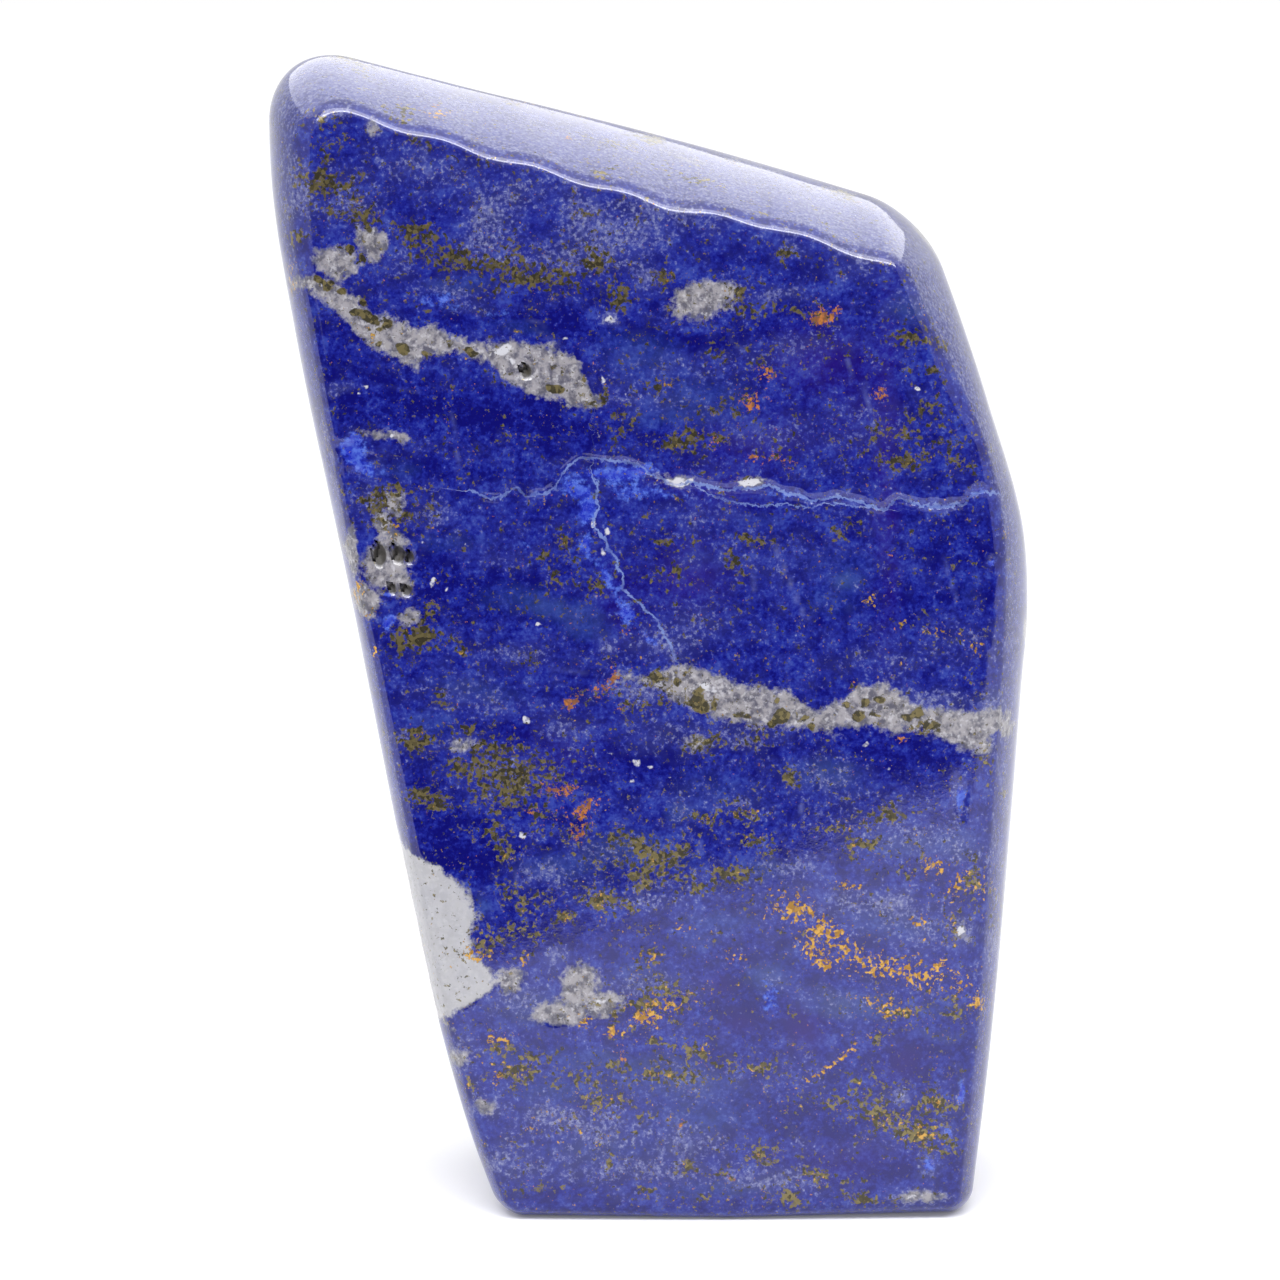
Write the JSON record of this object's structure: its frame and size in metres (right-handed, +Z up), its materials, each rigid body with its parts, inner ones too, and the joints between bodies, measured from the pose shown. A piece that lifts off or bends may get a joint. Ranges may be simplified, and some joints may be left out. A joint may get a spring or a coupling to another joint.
{
  "type": "polished lapis lazuli freeform",
  "caption": "Upright freeform slab of polished lapis lazuli with a sloping top, a leaning side and a flat ground base.",
  "frame": {"origin": "on the flat base, under the middle of the stone's box", "axes": "+Z up from the base to the sloping top, -Y out of the lapped front, +X to the bulged side"},
  "size_m": [0.0735, 0.037, 0.1109],
  "materials": {
    "lapis": "polished deep blue rock with grey-white calcite veins, pale dusting and specks of pyrite"
  },
  "bodies": {
    "root": {"lapis_lazuli": "lapis"}
  },
  "joints": []
}
